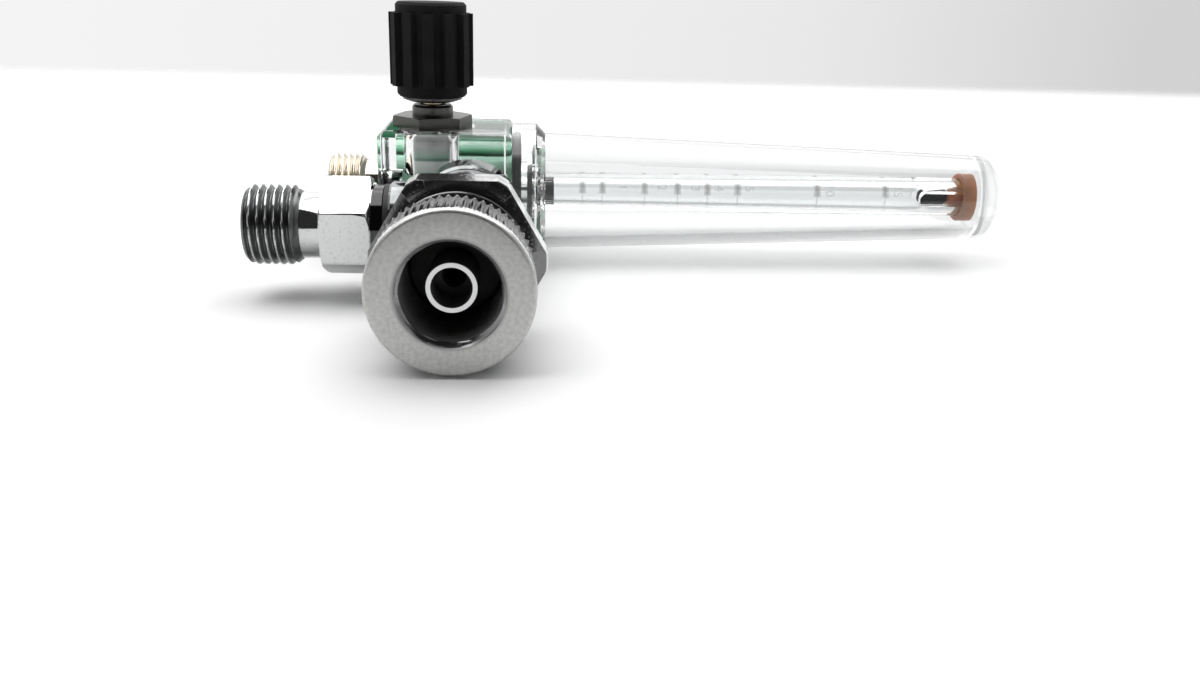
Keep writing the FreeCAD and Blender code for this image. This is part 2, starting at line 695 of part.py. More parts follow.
def make_side_fitting():
    """The take-off fitting: shank in the boss, collar, hexagon, neck and threaded end."""
    washer_face = -s.boss_reach
    piece("side_washer", turned("side_washer_disc", [
        (0, s.side_shank_radius + s.seat_gap), (0, s.side_collar_radius + 0.2),
        (s.side_washer, s.side_collar_radius + 0.2), (s.side_washer, s.side_shank_radius + s.seat_gap),
    ], (washer_face, side_y, 0), "-X"))
    start = s.side_shank_length + s.side_washer
    hex_start = start + s.side_collar_length
    hex_end = hex_start + s.side_hex_length
    neck_end = hex_end + s.side_neck_length
    finish = neck_end + s.side_thread_length
    core = turned("side_turning", [
        (0, 0), (0, s.side_shank_radius), (start, s.side_shank_radius), (start, s.side_collar_radius),
        (hex_start + 1.0, s.side_collar_radius), (hex_start + 1.0, s.side_neck_radius),
        (neck_end, s.side_neck_radius), (neck_end, s.side_thread_radius),
        (finish - s.side_chamfer, s.side_thread_radius),
        (finish, s.side_thread_radius - s.side_chamfer), (finish, 0),
    ], (washer_face + s.side_shank_length, side_y, 0), "-X")
    flats = hexagon("side_hexagon", s.side_flats, s.side_hex_length, s.side_chamfer,
                    (washer_face - s.side_washer - s.side_collar_length, side_y, 0), "-X",
                    s.side_hex_turn.value)
    bore = turned("side_bore", [
        (-1.0, 0), (-1.0, s.side_bore_radius), (finish - s.side_chamfer, s.side_bore_radius),
        (finish, s.side_bore_radius + s.side_chamfer), (finish + 1.0, s.side_bore_radius + s.side_chamfer),
        (finish + 1.0, 0),
    ], (washer_face + s.side_shank_length, side_y, 0), "-X")
    piece("side_fitting", cut("side_cut", join("side_solid", core, flats), bore))


def make_outlet():
    """The threaded outlet stub in the block's left face, with its sealing ring."""
    start = s.stub_shank_length
    neck_end = start + s.stub_neck_length
    finish = neck_end + s.stub_thread_length
    piece("outlet_stub", turned("stub_turning", [
        (0, s.stub_bore_radius), (0, s.stub_shank_radius), (start, s.stub_shank_radius),
        (start, s.stub_neck_radius), (start + 0.4, s.stub_neck_radius),
        (neck_end, s.stub_neck_radius), (neck_end, s.stub_thread_radius),
        (finish - s.stub_chamfer, s.stub_thread_radius),
        (finish, s.stub_thread_radius - s.stub_chamfer), (finish, s.stub_bore_radius),
    ], (block_left + s.stub_shank_length, tube_y, tube_z), "-X"))


make_block()
make_label()
make_cover()
make_metering_tube()
make_valve()
make_knob()
make_nut()
make_inlet()
make_side_fitting()
make_outlet()
doc.recompute()

faults = [f"{item.Name}: {item.State}" for item in doc.Objects
          if "Invalid" in item.State or "Error" in item.State]
for item in PIECES:
    if item.Shape.isNull() or not item.Shape.isValid():
        faults.append(f"{item.Label}: shape is not valid")
if faults:
    raise SystemExit("not written: " + "; ".join(faults))

os.makedirs(PARTS_FOLDER, exist_ok=True)
for item in PIECES:
    item.Shape.exportStep(os.path.join(PARTS_FOLDER, f"{item.Label}.step"))
    box = item.Shape.BoundBox
    print(f"{item.Label:16s} solids {len(item.Shape.Solids)} volume {item.Shape.Volume:9.1f}"
          f"  x {box.XMin:7.2f} {box.XMax:7.2f}  y {box.YMin:7.2f} {box.YMax:7.2f}"
          f"  z {box.ZMin:7.2f} {box.ZMax:7.2f}")
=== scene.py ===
"""Looks of the oxygen flowmeter: finishes, threads, printed scale, light and camera."""

import math

import bpy
from mathutils import Matrix, Vector


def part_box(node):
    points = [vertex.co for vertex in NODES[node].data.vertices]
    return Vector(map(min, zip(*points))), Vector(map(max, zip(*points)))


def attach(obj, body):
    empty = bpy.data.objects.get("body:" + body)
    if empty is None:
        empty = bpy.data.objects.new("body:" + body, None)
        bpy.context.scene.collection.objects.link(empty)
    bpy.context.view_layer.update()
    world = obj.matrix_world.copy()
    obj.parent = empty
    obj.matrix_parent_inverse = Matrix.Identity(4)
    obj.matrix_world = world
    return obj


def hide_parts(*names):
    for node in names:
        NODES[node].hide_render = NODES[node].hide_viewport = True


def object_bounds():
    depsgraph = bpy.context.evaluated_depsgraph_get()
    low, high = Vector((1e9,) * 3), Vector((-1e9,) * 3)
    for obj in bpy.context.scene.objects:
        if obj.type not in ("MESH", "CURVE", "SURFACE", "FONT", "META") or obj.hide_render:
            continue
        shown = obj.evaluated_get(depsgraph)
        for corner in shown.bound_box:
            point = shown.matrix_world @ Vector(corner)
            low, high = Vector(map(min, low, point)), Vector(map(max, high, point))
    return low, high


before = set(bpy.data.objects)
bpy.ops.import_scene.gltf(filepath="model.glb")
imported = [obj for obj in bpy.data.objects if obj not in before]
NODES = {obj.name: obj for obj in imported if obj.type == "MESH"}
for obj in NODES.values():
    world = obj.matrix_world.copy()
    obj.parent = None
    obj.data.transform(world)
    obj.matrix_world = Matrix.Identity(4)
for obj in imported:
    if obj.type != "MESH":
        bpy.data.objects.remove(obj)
CAD_BOX = [list(corner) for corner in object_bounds()]
MM = 0.001

# Camera, found by fitting known sizes to the photograph, in a frame 1200 pixels wide
IMAGE_WIDTH = 1200
FOCAL_PIXELS = 1100
SENSOR_MM = 36.0
CAMERA_PLACE = (0.01054, -0.15231, 0.04530)
CAMERA_PITCH = 18.65
CAMERA_ROLL = 1.72
CAMERA_YAW = 4.21

# Plastics and metals: bending of light, relief, and how clear the cover's closed end looks
ACRYLIC_IOR = 1.49
GRAIN_DEPTH = 0.04 * MM
PIT_DEPTH = 0.15 * MM
THIN_SHARE = 0.6
THIN_FADE = 0.6 * MM

# Painted shade for the inside of the nut and for the nipple's bore and nose, in a dark grey
BORE_SHADE = (0.14, 0.14, 0.135)

# The label's stripes: their extent below and above the dark line, and its height on the label and on the
# bonnet's shank, where the stripes are a painted reflection of the label
STRIPES_DOWN = 4.0 * MM
STRIPES_UP = 6.0 * MM
LABEL_LINE = 7.1 * MM
SHANK_REFLECTION_LINE = 7.9 * MM

# Sizes that the nut's shape and its zones of finish and painted shade share
KNURL_RADIUS = 12.6 * MM
KNURL_LENGTH = 10.0 * MM
NUT_LIP = 2.0 * MM
NUT_HEX_LENGTH = 6.2 * MM

# The table and what is behind it
TABLE_EDGE = 0.44
EDGE_FADE = 0.035
TABLE_SEEN = 1.2
TABLE_THROUGH_PLASTIC = 0.98
TABLE_HALF_WIDTH = 1.2
TABLE_NEAR = -0.9
BACKDROP_PLACE = 1.1
BACKDROP_HALF_WIDTH = 3.0
BACKDROP_HEIGHTS = (-1.5, 2.0)
BACKDROP_SPAN = (-0.6, 0.75)

# The room: greys, strength, and where its dark side and its ceiling begin, as parts of a direction
ROOM_GREY = (0.75, 0.75, 0.76)
ROOM_DARK = (0.045, 0.045, 0.045)
ROOM_STRENGTH = 0.6
DARK_SECTOR = (0.5, 0.75)
CEILING = (0.93, 0.98)


# Materials

def new_material(name):
    """An empty node material, with its tree and output."""
    material = bpy.data.materials.new(name)
    material.use_nodes = True
    tree = material.node_tree
    tree.nodes.clear()
    output = tree.nodes.new("ShaderNodeOutputMaterial")
    return material, tree, output


def principled(tree, color, metallic=0.0, roughness=0.4, **values):
    """A Principled shader with plain values on its own sockets."""
    shader = tree.nodes.new("ShaderNodeBsdfPrincipled")
    shader.inputs["Base Color"].default_value = (*color, 1.0)
    shader.inputs["Metallic"].default_value = metallic
    shader.inputs["Roughness"].default_value = roughness
    for name, value in values.items():
        shader.inputs[name.replace("_", " ")].default_value = value
    return shader


def object_coordinates(tree):
    """The object's own coordinates, in metres."""
    return tree.nodes.new("ShaderNodeTexCoord").outputs["Object"]


def coordinate(tree, axis):
    """One of the object's own coordinates, in metres."""
    split = tree.nodes.new("ShaderNodeSeparateXYZ")
    tree.links.new(object_coordinates(tree), split.inputs["Vector"])
    return split.outputs[axis]


def noise_texture(tree, scale, detail=4.0, stretch=None):
    """A noise pattern in the object's coordinates, with repeats a metre, stretched along an axis."""
    texture = tree.nodes.new("ShaderNodeTexNoise")
    texture.inputs["Scale"].default_value = scale
    texture.inputs["Detail"].default_value = detail
    vector = object_coordinates(tree)
    if stretch:
        mapping = tree.nodes.new("ShaderNodeMapping")
        mapping.inputs["Scale"].default_value = stretch
        tree.links.new(vector, mapping.inputs["Vector"])
        vector = mapping.outputs["Vector"]
    tree.links.new(vector, texture.inputs["Vector"])
    return texture.outputs["Fac"]


def ramp(tree, factor, *stops):
    """A colour ramp from (place, colour or grey) stops."""
    node = tree.nodes.new("ShaderNodeValToRGB")
    elements = node.color_ramp.elements
    while len(elements) < len(stops):
        elements.new(0.5)
    for element, (place, color) in zip(elements, stops):
        element.position = place
        element.color = (*color, 1.0) if hasattr(color, "__len__") else (color, color, color, 1.0)
    tree.links.new(factor, node.inputs["Fac"])
    return node.outputs["Color"]


def math_node(tree, operation, first, second=None):
    """A math node on sockets or plain numbers."""
    node = tree.nodes.new("ShaderNodeMath")
    node.operation = operation
    for socket, value in zip(node.inputs, (first, second)):
        if value is None:
            continue
        if isinstance(value, (int, float)):
            socket.default_value = value
        else:
            tree.links.new(value, socket)
    return node.outputs["Value"]


def seen_share(tree, *kinds):
    """1 for the kinds of ray named, and 0 for others."""
    path = tree.nodes.new("ShaderNodeLightPath")
    share = path.outputs[kinds[0]]
    for kind in kinds[1:]:
        share = math_node(tree, "MAXIMUM", share, path.outputs[kind])
    return share


def share_between(tree, value, low, high, interpolation="LINEAR"):
    """0 below the low value, 1 above the high one, and an even change between."""
    node = tree.nodes.new("ShaderNodeMapRange")
    node.interpolation_type = interpolation
    node.inputs["From Min"].default_value = low
    node.inputs["From Max"].default_value = high
    tree.links.new(value, node.inputs["Value"])
    return node.outputs["Result"]


def step_between(tree, value, low, high):
    """0 below the low value and 1 above the high one, with a smooth change between."""
    return share_between(tree, value, low, high, "SMOOTHSTEP")


def opposite(tree, share):
    """1 where a share is 0, and 0 where it is 1."""
    return math_node(tree, "SUBTRACT", 1.0, share)


def mixed(tree, output, share, first, second):
    """Links the output to a mix of two shaders, with a share that is a socket or a plain number."""
    mix = tree.nodes.new("ShaderNodeMixShader")
    if hasattr(share, "is_linked"):
        tree.links.new(share, mix.inputs["Fac"])
    else:
        mix.inputs["Fac"].default_value = share
    tree.links.new(first, mix.inputs[1])
    tree.links.new(second, mix.inputs[2])
    tree.links.new(mix.outputs["Shader"], output.inputs["Surface"])


def added(tree, output, first, second):
    """Links the output to the sum of two shaders."""
    both = tree.nodes.new("ShaderNodeAddShader")
    tree.links.new(first, both.inputs[0])
    tree.links.new(second, both.inputs[1])
    tree.links.new(both.outputs["Shader"], output.inputs["Surface"])


def blend(tree, share, first, second):
    """A colour between two plain colours or sockets."""
    node = tree.nodes.new("ShaderNodeMix")
    node.data_type = "RGBA"
    tree.links.new(share, node.inputs["Factor"])
    for socket, value in zip((node.inputs[6], node.inputs[7]), (first, second)):
        if hasattr(value, "is_linked"):
            tree.links.new(value, socket)
        else:
            socket.default_value = (*value, 1.0) if hasattr(value, "__len__") else (value, value, value, 1.0)
    return node.outputs[2]


def bump(tree, shader, height, strength, distance):
    """Relief on a shader's normal."""
    node = tree.nodes.new("ShaderNodeBump")
    node.inputs["Strength"].default_value = strength
    node.inputs["Distance"].default_value = distance
    tree.links.new(height, node.inputs["Height"])
    tree.links.new(node.outputs["Normal"], shader.inputs["Normal"])


def metal(name, color, roughness, spread, pits=0.0, pit_scale=900.0, grime=0.0):
    """Plated or bare metal: uneven gloss, fine pits and dulled patches."""
    material, tree, output = new_material(name)
    shader = principled(tree, color, 1.0, roughness)
    patches = noise_texture(tree, 260.0, 6.0)
    rough = ramp(tree, patches, (0.3, max(roughness - spread, 0.02)), (0.75, roughness + spread))
    tree.links.new(rough, shader.inputs["Roughness"])
    if grime:
        dark = tuple(channel * (1 - grime) for channel in color)
        tone = ramp(tree, noise_texture(tree, 420.0, 8.0), (0.32, dark), (0.55, color))
        tree.links.new(tone, shader.inputs["Base Color"])
    if pits:
        spots = ramp(tree, noise_texture(tree, pit_scale, 3.0), (0.28, 0.0), (0.38, 1.0))
        bump(tree, shader, spots, pits, PIT_DEPTH)
    tree.links.new(shader.outputs["BSDF"], output.inputs["Surface"])
    return material


def clear_plastic(name, tint, roughness, shadow, haze=0.0, thin_from=None):
    """Clear moulded plastic that lets most light through into its shadow, and that looks thin past a
    place along the tube."""
    material, tree, output = new_material(name)
    shader = principled(tree, tint, 0.0, roughness, Transmission_Weight=1.0, IOR=ACRYLIC_IOR)
    scratches = noise_texture(tree, 700.0, 6.0, (0.15, 1.0, 1.0))
    rough = ramp(tree, scratches, (0.45, roughness), (0.8, roughness + 0.05 + haze))
    tree.links.new(rough, shader.inputs["Roughness"])
    through = tree.nodes.new("ShaderNodeBsdfTransparent")
    through.inputs["Color"].default_value = (*tint, 1.0)
    clear_share = math_node(tree, "MULTIPLY", seen_share(tree, "Is Shadow Ray"), shadow)
    if thin_from:
        thin = step_between(tree, coordinate(tree, "X"), thin_from, thin_from + THIN_FADE)
        clear_share = math_node(tree, "MAXIMUM", clear_share, math_node(tree, "MULTIPLY", thin, THIN_SHARE))
    mixed(tree, output, clear_share, shader.outputs["BSDF"], through.outputs["BSDF"])
    return material


def moulded(name, color, roughness, grain=0.3, **values):
    """Opaque moulded plastic, rubber or film with a fine grain and slightly uneven colour."""
    material, tree, output = new_material(name)
    shader = principled(tree, color, 0.0, roughness, **values)
    lighter = tuple(min(channel * 1.35 + 0.002, 1.0) for channel in color)
    tone = ramp(tree, noise_texture(tree, 300.0), (0.35, color), (0.8, lighter))
    tree.links.new(tone, shader.inputs["Base Color"])
    bump(tree, shader, noise_texture(tree, 2500.0, 2.0), grain, GRAIN_DEPTH)
    tree.links.new(shader.outputs["BSDF"], output.inputs["Surface"])
    return material


def faint_print(name, color, cover):
    """Worn ink that covers only part of what is under it."""
    material, tree, output = new_material(name)
    ink = tree.nodes.new("ShaderNodeBsdfDiffuse")
    ink.inputs["Color"].default_value = (*color, 1.0)
    through = tree.nodes.new("ShaderNodeBsdfTransparent")
    mixed(tree, output, cover, through.outputs["BSDF"], ink.outputs["BSDF"])
    return material


def axis_distance(tree, axis, centre):
    """Distance from an axis through a point, and the coordinate along that axis."""
    split = tree.nodes.new("ShaderNodeSeparateXYZ")
    tree.links.new(object_coordinates(tree), split.inputs["Vector"])
    squares = []
    for letter, middle_value in zip("XYZ", centre):
        if letter != axis:
            offset = math_node(tree, "SUBTRACT", split.outputs[letter], middle_value)
            squares.append(math_node(tree, "MULTIPLY", offset, offset))
    return math_node(tree, "SQRT", math_node(tree, "ADD", *squares)), split.outputs[axis]


def nut_metal(name):
    """The nut: rough pitted face, plated lip, knurl coloured near black as painted shade that deepens to the
    rear, painted glints at the ridge ends, painted shade on the neck and inside, and a plated hexagon."""
    material, tree, output = new_material(name)
    shader = principled(tree, (0.6, 0.6, 0.59), 1.0, 0.2)
    reach, along = axis_distance(tree, "Y", (0, 0, 0))
    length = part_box("swivel_nut")[1].y
    behind_face = step_between(tree, along, 0.12 * MM, 0.75 * MM)
    outside = step_between(tree, reach, 8.3 * MM, 8.75 * MM)
    mottle = noise_texture(tree, 1500.0, 6.0)
    face = ramp(tree, mottle, (0.3, (0.58, 0.58, 0.56)), (0.62, (0.72, 0.72, 0.7)))
    plated = ramp(tree, noise_texture(tree, 500.0, 8.0), (0.35, (0.62, 0.62, 0.62)), (0.6, (0.9, 0.9, 0.9)))
    # Painted shade: the knurl is near black and darker towards the rear, with its own dark grey in the
    # grooves.
    rearward = step_between(tree, along, NUT_LIP + 0.4 * MM, KNURL_LENGTH - 3.0 * MM)
    ridges = blend(tree, rearward, (0.09, 0.09, 0.09), (0.03, 0.03, 0.03))
    on_ridge = step_between(tree, reach, KNURL_RADIUS - 0.35 * MM, KNURL_RADIUS - 0.05 * MM)
    knurl_shade = blend(tree, on_ridge, (0.08, 0.08, 0.08), ridges)
    # Painted glint: a light grey spot on each ridge tip at the knurl's rear end.
    near_end = step_between(tree, along, KNURL_LENGTH - 1.1 * MM, KNURL_LENGTH - 0.9 * MM)
    on_bead = step_between(tree, reach, KNURL_RADIUS - 0.02 * MM, KNURL_RADIUS + 0.06 * MM)
    ridge_end_glint = math_node(tree, "MULTIPLY", near_end, on_bead)
    knurl = blend(tree, ridge_end_glint, knurl_shade, (0.45, 0.45, 0.45))
    barrel = blend(tree, step_between(tree, along, NUT_LIP, NUT_LIP + 0.5 * MM), plated, knurl)
    # Painted shade on the neck between the knurl and the hexagon.
    past_knurl = step_between(tree, along, KNURL_LENGTH + 0.02 * MM, KNURL_LENGTH + 0.1 * MM)
    neck = blend(tree, past_knurl, barrel, (0.25, 0.25, 0.25))
    hex_start = length - NUT_HEX_LENGTH
    side = blend(tree, step_between(tree, along, hex_start + 0.1 * MM, hex_start + 0.2 * MM), neck, plated)
    sides = blend(tree, behind_face, face, side)
    # Painted shade inside the nut: grey past the mouth and darker still in the bore.
    past_mouth = step_between(tree, along, 0.5 * MM, 0.8 * MM)
    deep = math_node(tree, "MULTIPLY", opposite(tree, outside),
                     step_between(tree, along, 1.2 * MM, 2.4 * MM))
    inside = blend(tree, deep, blend(tree, past_mouth, (0.5, 0.5, 0.5), (0.3, 0.3, 0.3)), BORE_SHADE)
    tree.links.new(blend(tree, outside, inside, sides), shader.inputs["Base Color"])
    tree.links.new(opposite(tree, deep), shader.inputs["Metallic"])
    tree.links.new(blend(tree, deep, blend(tree, behind_face, 0.42, 0.16), 0.8), shader.inputs["Roughness"])
    pits = ramp(tree, noise_texture(tree, 1900.0, 3.0), (0.28, 0.0), (0.4, 1.0))
    bump(tree, shader, pits, 0.18, 0.0001)
    tree.links.new(shader.outputs["BSDF"], output.inputs["Surface"])
    return material


def nipple_metal(name):
    """The nipple: a plain plated ring at its mouth, with a rough bore and nose coloured dark as painted
    shade.
    """
    material, tree, output = new_material(name)
    shader = principled(tree, (0.8, 0.8, 0.8), 1.0, 0.3)
    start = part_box("inlet_nipple")[0].y
    on_face = opposite(tree, step_between(tree, coordinate(tree, "Y"), start + 0.1 * MM, start + 0.3 * MM))
    # Painted shade on the bore and nose; only the mouth's ring keeps the plated colour.
    tree.links.new(blend(tree, on_face, BORE_SHADE, (0.9, 0.9, 0.9)), shader.inputs["Base Color"])
    tree.links.new(on_face, shader.inputs["Metallic"])
    tree.links.new(blend(tree, on_face, 0.8, 0.3), shader.inputs["Roughness"])
    tree.links.new(shader.outputs["BSDF"], output.inputs["Surface"])
    return material


def thread_metal(name, centre, crest, root, bright, groove_shade, shade_from):
    """Plated thread: bright crests, grey, rougher grooves coloured as painted shade, plain metal past the
    thread's start, and painted shade on the shank from a place along the axis, where it meets the body."""
    material, tree, output = new_material(name)
    shader = principled(tree, bright, 1.0, 0.1)
    reach, along = axis_distance(tree, "X", centre)
    # Painted shade in the grooves: they take the darker groove colour, the crests and plain metal the plated
    # one.
    on_crest = step_between(tree, reach, root, crest)
    plain = step_between(tree, along, centre[0], centre[0] + 0.2 * MM)
    gloss_out_of_groove_shade = math_node(tree, "MAXIMUM", on_crest, plain)
    spots = ramp(tree, noise_texture(tree, 2000.0, 4.0), (0.34, 0.7), (0.46, 1.0))
    # Painted shade, near black, on the shank where it meets the body.
    shade_on_body = step_between(tree, along, shade_from, shade_from + 0.2 * MM)
    toned = blend(tree, shade_on_body, blend(tree, gloss_out_of_groove_shade, groove_shade, bright), (0.08, 0.08, 0.08))
    speckled = tree.nodes.new("ShaderNodeMix")
    speckled.data_type = "RGBA"
    speckled.blend_type = "MULTIPLY"
    speckled.inputs["Factor"].default_value = 0.5
    tree.links.new(toned, speckled.inputs[6])
    tree.links.new(spots, speckled.inputs[7])
    tree.links.new(speckled.outputs[2], shader.inputs["Base Color"])
    tree.links.new(blend(tree, gloss_out_of_groove_shade, 0.3, 0.07), shader.inputs["Roughness"])
    tree.links.new(shader.outputs["BSDF"], output.inputs["Surface"])
    return material


def mint_stripes(tree, line_height):
    """Pale mint by height, with a green stripe that fades upwards and a dark line under it."""
    place = share_between(tree, coordinate(tree, "Z"), line_height - STRIPES_DOWN, line_height + STRIPES_UP)
    return ramp(tree, place, (0.1, (0.55, 0.66, 0.6)), (0.3, (0.84, 0.92, 0.88)),
                (0.37, (0.84, 0.92, 0.88)), (0.39, (0.2, 0.36, 0.28)), (0.42, (0.2, 0.36, 0.28)),
                (0.46, (0.4, 0.64, 0.52)), (0.54, (0.74, 0.87, 0.8)), (0.68, (0.96, 0.98, 0.97)))


def striped_label(name):
    """The printed panel, which also passes light from behind."""
    material, tree, output = new_material(name)
    face = tree.nodes.new("ShaderNodeBsdfDiffuse")
    film = tree.nodes.new("ShaderNodeBsdfTranslucent")
    tone = mint_stripes(tree, LABEL_LINE)
    tree.links.new(tone, face.inputs["Color"])
    tree.links.new(tone, film.inputs["Color"])
    added(tree, output, face.outputs["BSDF"], film.outputs["BSDF"])
    return material


def bonnet_metal(name):
    """The bonnet: dark plated hexagon, and a shank in the block coloured with the label's stripes as a
    painted reflection.
    """
    material, tree, output = new_material(name)
    shader = principled(tree, (0.2, 0.2, 0.19), 1.0, 0.3)
    # Painted reflection: the shank in the block is coloured with the label's stripes.
    tone = mint_stripes(tree, SHANK_REFLECTION_LINE)
    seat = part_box("bonnet_washer")[0].z
    above = step_between(tree, coordinate(tree, "Z"), seat - 0.1 * MM, seat + 0.1 * MM)
    tree.links.new(blend(tree, above, tone, (0.13, 0.13, 0.12)), shader.inputs["Base Color"])
    tree.links.new(above, shader.inputs["Metallic"])
    tree.links.new(blend(tree, above, 0.6, 0.3), shader.inputs["Roughness"])
    tree.links.new(shader.outputs["BSDF"], output.inputs["Surface"])
    return material


# Where the cut threads begin, and the materials by name, painted shade among them
SIDE_LOW, SIDE_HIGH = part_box("side_fitting")
SIDE_THREAD_START = (SIDE_LOW.x + 9.7 * MM, (SIDE_LOW.y + SIDE_HIGH.y) / 2, (SIDE_LOW.z + SIDE_HIGH.z) / 2)
STUB_LOW, STUB_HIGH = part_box("outlet_stub")
STUB_THREAD_START = (STUB_LOW.x + 7.2 * MM, (STUB_LOW.y + STUB_HIGH.y) / 2, (STUB_LOW.z + STUB_HIGH.z) / 2)

MATERIALS = {
    "nut_metal": nut_metal("nut_metal"),
    "nipple_metal": nipple_metal("nipple_metal"),
    # Thread colours: plated crests, painted shade in the grooves, and painted shade on the shank by the
    # body.
    "side_metal": thread_metal("side_metal", SIDE_THREAD_START, 7.12 * MM, 6.9 * MM, (0.8, 0.81, 0.81),
                               (0.2, 0.205, 0.205), SIDE_HIGH.x - 9.4 * MM),
    "stub_metal": thread_metal("stub_metal", STUB_THREAD_START, 6.95 * MM, 6.4 * MM, (0.95, 0.9, 0.8),
                               (0.68, 0.62, 0.52), STUB_HIGH.x - 3.5 * MM),
    # Chrome darkened to grey as painted shade on the inlet adapter, between the take-off fitting and the
    # nut.
    "bright_chrome": metal("bright_chrome", (0.34, 0.35, 0.35), 0.1, 0.04, pits=0.12, grime=0.3),
    "nickel_plate": metal("nickel_plate", (0.13, 0.125, 0.12), 0.3, 0.08, pits=0.1, grime=0.3),
    "bare_brass": metal("bare_brass", (0.86, 0.78, 0.6), 0.2, 0.08, pits=0.08),
    "sintered_bronze": metal("sintered_bronze", (0.35, 0.24, 0.13), 0.6, 0.1, pits=1.0, pit_scale=4000.0),
    "clear_block": clear_plastic("clear_block", (0.98, 0.99, 0.985), 0.05, 0.96),
    "clear_cover": clear_plastic("clear_cover", (0.985, 0.99, 0.99), 0.02, 0.9, haze=0.03,
                                 thin_from=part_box("tube_cap")[1].x + 0.9 * MM),
    "clear_tube": clear_plastic("clear_tube", (0.97, 0.98, 0.98), 0.03, 0.9, haze=0.05),
    "black_plastic": moulded("black_plastic", (0.012, 0.012, 0.012), 0.75, grain=0.5,
                             Specular_IOR_Level=0.25),
    "black_rubber": moulded("black_rubber", (0.02, 0.02, 0.02), 0.5),
    "brown_silicone": moulded("brown_silicone", (0.3, 0.12, 0.06), 0.5, Subsurface_Weight=0.2),
    "striped_label": striped_label("striped_label"),
    "green_print": moulded("green_print", (0.05, 0.2, 0.11), 0.8, Specular_IOR_Level=0.1),
    "bonnet_metal": bonnet_metal("bonnet_metal"),
    "scale_print": faint_print("scale_print", (0.15, 0.15, 0.15), 0.2),
}

NODE_MATERIALS = {
    "body_block": "clear_block",
    "face_label": "striped_label",
    "tube_cover": "clear_cover",
    "cover_o_ring": "black_rubber",
    "metering_tube": "clear_tube",
    "tube_o_ring": "black_rubber",
    "float_stop": "black_rubber",
    "tube_cap": "brown_silicone",
    "float_bobbin": "black_plastic",
    "valve_seat": "bare_brass",
    "bonnet_washer": "black_rubber",
    "valve_bonnet": "bonnet_metal",
    "needle_spindle": "bare_brass",
    "stem_o_ring": "black_rubber",
    "knob_insert": "nickel_plate",
    "control_knob": "black_plastic",
    "swivel_nut": "nut_metal",
    "inlet_nipple": "nipple_metal",
    "inlet_filter": "sintered_bronze",
    "inlet_adapter": "bright_chrome",
    "side_washer": "black_rubber",
    "side_fitting": "bright_chrome",
    "outlet_stub": "bare_brass",
}


def finish_nodes():
    """Gives every CAD node its material and smooth shading up to its real edges."""
    for name, material in NODE_MATERIALS.items():
        mesh = NODES[name].data
        mesh.materials.clear()
        mesh.materials.append(MATERIALS[material])
        smooth(mesh, 28)


# Turned pieces with threads, hexagons and knurls

def make_object(name, vertices, faces, material, body):
    """A mesh object that rides on a body."""
    mesh = bpy.data.meshes.new(name)
    mesh.from_pydata(vertices, [], faces)
    mesh.validate()
    mesh.materials.append(MATERIALS[material])
    piece = bpy.data.objects.new(name, mesh)
    bpy.context.scene.collection.objects.link(piece)
    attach(piece, body)
    return piece


def smooth(mesh, degrees):
    """Smooth shading, with edges past an angle kept sharp."""
    mesh.polygons.foreach_set("use_smooth", [True] * len(mesh.polygons))
    mesh.set_sharp_from_angle(angle=math.radians(degrees))


def radial_solid(name, origin, along, outward, stations, steps, radius_at, material, body):
    """A closed solid round an axis. Each station is (distance along the axis, radius, kind), and
    radius_at(kind, distance, radius, angle) gives the radius there. The stations close on themselves."""
    sideways = along.cross(outward)
    vertices, faces = [], []
    for distance, radius, kind in stations:
        for step in range(steps):
            angle = 2 * math.pi * step / steps
            reach = radius_at(kind, distance, radius, angle)
            direction = outward * math.cos(angle) + sideways * math.sin(angle)
            vertices.append(origin + along * distance + direction * reach)
    rows = len(stations)
    for row in range(rows):
        following = (row + 1) % rows
        for step in range(steps):
            turn = (step + 1) % steps
            faces.append((row * steps + step, row * steps + turn, following * steps + turn,
                          following * steps + step))
    piece = make_object(name, vertices, faces, material, body)
    smooth(piece.data, 30)
    return piece


def thread_rows(start, finish, pitch, kind, per_turn=12):
    """Evenly spaced stations along a threaded length."""
    count = max(2, round((finish - start) / pitch * per_turn))
    return [(start + (finish - start) * i / count, None, kind) for i in range(count + 1)]


def tooth(turns):
    """Height of a thread's section, 0 at the root and 1 at the crest, with small flats."""
    share = turns - math.floor(turns)
    height = 1 - abs(share * 2 - 1)
    return min(max((height - 0.1) / 0.78, 0.0), 1.0)


def cut_thread(distance, angle, start, chamfer_start, pitch, neck_radius, crest_radius, root):
    """Radius of an outer thread that rises from a neck over its first turn and is chamfered at its end."""
    end_cut = crest_radius - max(0.0, distance - chamfer_start)
    turns = distance / pitch - angle / (2 * math.pi)
    lead = min(1.0, (distance - start) / pitch)
    crest = neck_radius + (crest_radius - neck_radius) * lead
    low_side = min(root, crest)
    return min(low_side + (crest - low_side) * tooth(turns), end_cut)


def hexagon_radius(flats, angle, turn=0.0):
    """Distance from a hexagon's centre to its side, with a corner at the turn."""
    sixth = math.pi / 3
    part = (angle - turn) % sixth - sixth / 2
    return flats / 2 / math.cos(part)


# Take-off fitting, outlet stub and swivel nut, in metres along each piece's own axis

SIDE_PITCH = 1.411 * MM
SIDE_DEPTH = 0.78 * MM
STUB_PITCH = 1.25 * MM
STUB_DEPTH = 0.7 * MM
NUT_PITCH = 1.337 * MM
NUT_THREAD_DEPTH = 0.75 * MM


def chamfered_hexagon(flats, chamfer, start, length, corner=None):
    """Stations of a hexagon whose corners are turned off at both ends, and to a radius where given."""
    corner = corner or flats / 2 / math.cos(math.radians(30))
    rows = []
    for share in (0.0, 0.25, 0.5, 0.75, 1.0):
        rows.append((start + chamfer / 2 * share, corner - chamfer * (1 - share), "hex"))
    rows.append((start + length * 0.5, corner, "hex"))
    for share in (0.0, 0.25, 0.5, 0.75, 1.0):
        rows.append((start + length - chamfer / 2 * (1 - share), corner - chamfer * share, "hex"))
    return rows


